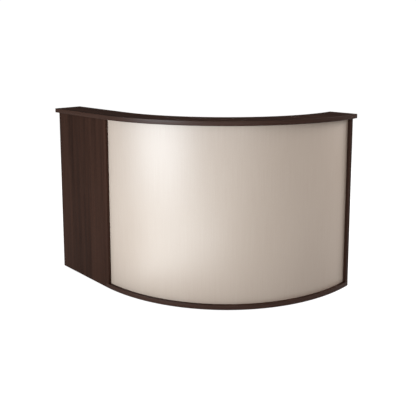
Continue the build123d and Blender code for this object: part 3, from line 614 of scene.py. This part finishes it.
def lock_case(node):
    """A cam lock's shell, turned about Y: a domed flange, a barrel with a fine thread and a hexagonal nut
    behind the front. A hexagon's reach is flat / cos(angle from the middle of the nearest flat)."""
    low, high = (np.array(corner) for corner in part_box(node))
    centre = np.array([(low[0] + high[0]) / 2, low[1], (low[2] + high[2]) / 2])
    flange = (high - low)[0] / 2
    depth = high[1] - low[1]
    under_flange = depth - LOCK_FLANGE
    columns = 72
    angle = np.linspace(0, 360, columns, endpoint=False)
    hexagon = flange * 0.88 / np.cos(np.radians((angle + 30) % 60 - 30))
    chamfered = (hexagon - 0.0005)[None]
    chamfer_rise = 0.0004
    threads = np.linspace(LOCK_NUT + 0.0002, under_flange, 70)
    lead = (threads[:, None] / THREAD_PITCH - angle / 360) % 1
    thread = LOCK_BARREL - THREAD_DEPTH * 2 * np.abs(lead - 0.5)
    dome = np.radians(np.linspace(0, 90, 7))
    rim = flange - LOCK_RIM + LOCK_RIM * np.cos(dome)
    rim_rise = depth - LOCK_RIM + LOCK_RIM * np.sin(dome)
    parts = [
        (0.0, np.full((1, columns), LOCK_BORE)),
        (0.0, chamfered),
        (chamfer_rise, hexagon[None]),
        (LOCK_NUT - chamfer_rise, hexagon[None]),
        (LOCK_NUT, chamfered),
        (threads, thread),
        (under_flange, np.full((1, columns), flange)),
        (rim_rise, np.repeat(rim[:, None], columns, axis=1)),
        (depth - 0.0003, np.full((1, columns), LOCK_BORE + LOCK_DISH)),
        (depth - 0.0007, np.full((1, columns), LOCK_BORE)),
    ]
    rise = np.concatenate([np.atleast_1d(step) for step, _ in parts])
    reach = np.concatenate([radius for _, radius in parts])
    shape = turned(centre, (0, 1, 0), rise, reach)
    return turned_piece("turned_" + node, node, [shape], closed_line=True)


def build_handles_and_locks():
    """The drawer's handle lies along X and the door's stands along Z."""
    for node, way in (("drawer_handle", 0), ("door_handle", 2)):
        paint(bow_handle(node, way), node)
    for node in ("drawer_lock_case", "door_lock_case"):
        paint(lock_case(node), node)


def fastener(solid, recess, threaded):
    """One screw or bolt from its plain solid: the axis is the direction in which its corners spread most.
    The head is a dome, top - height * 0.55 * (radius / head)^2.4, cut by a cross or a hexagon. The shank
    is a helix: its reach falls by the thread's depth as a triangle wave of rise / pitch - angle."""
    middle = solid.mean(0)
    axis = np.linalg.svd(solid - middle, full_matrices=False)[2][0]
    rise = (solid - middle) @ axis
    off_axis = np.linalg.norm(solid - middle - rise[:, None] * axis, axis=1)
    head = off_axis.max()
    if rise[off_axis > 0.9 * head].mean() < 0:
        axis, rise = -axis, -rise
    centre = middle + axis * rise.min()
    length = np.ptp(rise)
    height = np.ptp(rise[off_axis > 0.9 * head])
    shank = off_axis[rise < rise.min() + 1e-5].max()
    columns = 48
    angle = np.linspace(0, 2 * math.pi, columns, endpoint=False)
    share = np.array([1.0, 0.97, 0.9, 0.78, 0.64, 0.56, 0.5, 0.42, 0.34, 0.26, 0.2, 0.15, 0.1, 0.03])
    dome, dome_power, recess_depth = 0.55, 2.4, 0.75
    slot_half, slot_reach, hexagon_half = 0.13, 0.6, 0.45
    top_radius = np.repeat((share * head)[:, None], columns, axis=1)
    top_rise = length - height * dome * top_radius**dome_power / head**dome_power
    x, y = top_radius * np.cos(angle), top_radius * np.sin(angle)
    if recess == "cross":
        arm = np.minimum(np.abs(x), np.abs(y)) < slot_half * head
        cut = arm & (top_radius < slot_reach * head)
    else:
        sides = np.radians((np.degrees(angle) + 30) % 60 - 30)
        cut = top_radius * np.cos(sides) < hexagon_half * head
    top_rise = np.where(cut, length - height * recess_depth, top_rise)
    steps = np.linspace(0, length - height, 60 if threaded else 4)
    wave = np.abs((steps[:, None] / THREAD_PITCH - angle / (2 * math.pi)) % 1 - 0.5) * 2
    depth = min(THREAD_DEPTH, shank * 0.2) if threaded else 0.0
    point = np.clip(steps / (shank * 1.2), 0.35, 1)[:, None] if threaded else 1.0
    shank_reach = (shank - depth * wave) * point
    under = np.full((1, columns), head * 0.98)
    reach = np.concatenate([shank_reach, under, top_radius])
    flat = np.full((1, columns), length - height)
    rises = np.concatenate([np.broadcast_to(steps[:, None], shank_reach.shape), flat, top_rise])
    return turned(centre, axis, rises, reach)


def build_fasteners():
    """Every screw, bolt and nut, with its head's recess and thread."""
    kinds = {
        "bracket_screws": ("cross", True),
        "drawer_handle_screws": ("cross", True),
        "door_handle_screws": ("cross", True),
        "hinge_cabinet_screws": ("cross", True),
        "hinge_door_screws": ("cross", True),
        "connector_bolts": ("hexagon", False),
        "connector_nuts": ("hexagon", False),
    }
    for node, (recess, threaded) in kinds.items():
        shapes = [fastener(solid, recess, threaded) for solid in solids_of(node)]
        paint(turned_piece("cut_" + node, node, shapes), node)


def upright(solid):
    """The centre of an upright turned solid's foot, its radius and its height."""
    low, high = solid.min(0), solid.max(0)
    foot = [(low[0] + high[0]) / 2, (low[1] + high[1]) / 2, low[2]]
    return foot, (high - low)[0] / 2, high[2] - low[2]


def build_grommet_liners():
    """Liners turned about Z: a wall under a lip whose edge is a quarter ellipse, with the cap's seat."""
    liners = []
    bore, wall, seat_wall, lip_end, edge = 0.013, 0.0080, 0.0105, 0.0098, 0.0035
    curve = np.radians(np.linspace(0, 90, 9))
    for solid in solids_of("grommet_liners"):
        foot, flange, height = upright(solid)
        under_lip, seat = height - LINER_LIP, height - LINER_SEAT
        line = [(flange - bore, 0.0), (flange - wall, 0.0), (flange - wall, under_lip), (flange, under_lip)]
        line += [(flange - edge * (1 - math.cos(t)), under_lip + LINER_LIP * math.sin(t)) for t in curve]
        line += [(flange - lip_end, height), (flange - seat_wall, height - 0.0007)]
        line += [(flange - seat_wall, seat), (flange - bore, seat)]
        liners.append(turned(foot, (0, 0, 1), *rings(line, 96)))
    node = "grommet_liners"
    paint(turned_piece("turned_" + node, node, liners, closed_line=True), node)


def build_glides():
    """Round glides turned about Z, the rim of the sole a quarter circle."""
    feet = []
    curve = np.radians(np.linspace(0, 90, 7))
    for solid in solids_of("glides"):
        foot, radius, height = upright(solid)
        sole = [(radius - GLIDE_ROUND * (1 - math.sin(t)), GLIDE_ROUND * (1 - math.cos(t))) for t in curve]
        line = [(radius * 0.02, 0.0)] + sole + [(radius, height)]
        feet.append(turned(foot, (0, 0, 1), *rings(line, 40)))
    paint(turned_piece("turned_glides", "glides", feet), "glides")


def finish_kept_nodes():
    """Gives every node its finish, which shows on the nodes that no piece replaces."""
    for name in frame["nodes"]:
        paint(frame["nodes"][name], name)


# ---------------------------------------------------------------- studio


def stage_floor():
    """A pale floor that runs on past every view, bright enough to stay pale far from the lamps."""
    mesh = bpy.data.meshes.new("floor")
    corners = [(x * FLOOR_HALF, y * FLOOR_HALF, 0) for x, y in ((-1, -1), (1, -1), (1, 1), (-1, 1))]
    mesh.from_pydata(corners, [], [(0, 1, 2, 3)])
    floor = bpy.data.objects.new("floor", mesh)
    bpy.context.scene.collection.objects.link(floor)
    f = Finish("pale_floor")
    grain = f.noise(f.place(), 30.0, 3.0, 0.5)
    pale = f.mix(grain, tint(0.19, 0.19, 0.19), tint(0.22, 0.22, 0.22))
    seen = f.node("ShaderNodeLightPath", {}).outputs["Is Camera Ray"]
    glow = f.spread(seen, 0, 1, FLOOR_GLOW, FLOOR_SEEN)
    f.surface_values(Base_Color=pale, Roughness=0.95, Emission_Color=tint(1, 1, 1), Emission_Strength=glow)
    mesh.materials.append(f.material)


def soft_box(name, place, aim, size, watts, hue=(1, 1, 1), mirrored=True):
    """A soft box at a place, width by height, aimed at a point, out of the camera's sight and, unless
    mirrored, out of every reflection."""
    lamp = bpy.data.lights.new(name, "AREA")
    lamp.shape = "RECTANGLE"
    lamp.size, lamp.size_y = size
    lamp.energy = watts
    lamp.color = hue
    holder = bpy.data.objects.new(name, lamp)
    holder.location = place
    way = np.array(aim) - np.array(place)
    level = math.hypot(way[0], way[1])
    holder.rotation_euler = (math.pi / 2 + math.atan2(way[2], level), 0, math.atan2(-way[0], way[1]))
    holder.visible_camera = False
    holder.visible_glossy = mirrored
    bpy.context.scene.collection.objects.link(holder)


def studio_world():
    """White for the camera. Polished and satin surfaces see a dim studio, darker at the horizon than
    overhead; everything else gets an even fill."""
    world = bpy.data.worlds.new("studio")
    bpy.context.scene.world = world
    world.use_nodes = True
    nodes, links = world.node_tree.nodes, world.node_tree.links
    fill = nodes["Background"]
    fill.inputs["Color"].default_value = FILL_COLOUR
    fill.inputs["Strength"].default_value = FILL_STRENGTH
    backdrop = nodes.new("ShaderNodeBackground")
    backdrop.inputs["Color"].default_value = (1.0, 1.0, 1.0, 1.0)
    backdrop.inputs["Strength"].default_value = BACKDROP_STRENGTH
    dim = nodes.new("ShaderNodeBackground")
    way = nodes.new("ShaderNodeTexCoord")
    split = nodes.new("ShaderNodeSeparateXYZ")
    rise = nodes.new("ShaderNodeMapRange")
    rise.inputs["From Min"].default_value = GLOSS_RISE
    rise.inputs["To Min"].default_value = GLOSS_LOW
    rise.inputs["To Max"].default_value = GLOSS_HIGH
    links.new(way.outputs["Generated"], split.inputs[0])
    links.new(split.outputs["Z"], rise.inputs["Value"])
    links.new(rise.outputs["Result"], dim.inputs["Strength"])
    path = nodes.new("ShaderNodeLightPath")
    glossy = nodes.new("ShaderNodeMixShader")
    links.new(path.outputs["Is Glossy Ray"], glossy.inputs["Fac"])
    links.new(fill.outputs[0], glossy.inputs[1])
    links.new(dim.outputs[0], glossy.inputs[2])
    seen = nodes.new("ShaderNodeMixShader")
    links.new(path.outputs["Is Camera Ray"], seen.inputs["Fac"])
    links.new(glossy.outputs[0], seen.inputs[1])
    links.new(backdrop.outputs[0], seen.inputs[2])
    links.new(seen.outputs[0], nodes["World Output"].inputs["Surface"])


def set_camera():
    lens = bpy.data.cameras.new("camera")
    lens.lens = CAMERA_LENS
    lens.sensor_width = 36.0
    lens.shift_y = CAMERA_SHIFT
    camera = bpy.data.objects.new("camera", lens)
    camera.location = CAMERA_PLACE
    camera.rotation_euler = (math.radians(90 + CAMERA_DIP), 0, math.radians(CAMERA_TURN))
    bpy.context.scene.collection.objects.link(camera)
    bpy.context.scene.camera = camera


def light_studio():
    """A wide key light in front of the straight unit with its pool on the floor, a weak fill on the
    right, and three lamps on the staff side."""
    bpy.context.scene.view_settings.view_transform = "Standard"
    studio_world()
    soft_box("key_light", (0.10, -4.5, 1.15), (0.25, -0.5, 0.65), (2.6, 1.8), 130, KEY_HUE)
    soft_box("floor_glow", (0.55, -1.40, 0.01), (0.55, -1.40, 1.0), (1.4, 1.3), 9, GLOW_HUE)
    soft_box("right_fill", (4.3, -3.3, 1.6), (0.3, -0.1, 0.6), (2.2, 2.2), 30)
    soft_box("staff_light", (2.6, 3.0, 3.0), (0.1, 0.2, 0.6), (2.2, 2.2), 70)
    soft_box("staff_right", (1.4, 4.0, 1.9), (0.1, 0.0, 0.5), (2.0, 2.0), 110, mirrored=False)
    soft_box("staff_left", (-2.9, 3.1, 1.9), (0.1, 0.0, 0.5), (2.0, 2.0), 130, mirrored=False)


set_camera()
light_studio()
stage_floor()
finish_kept_nodes()
build_front()
build_boards()
build_sheet_metal()
build_handles_and_locks()
build_fasteners()
build_grommet_liners()
build_glides()
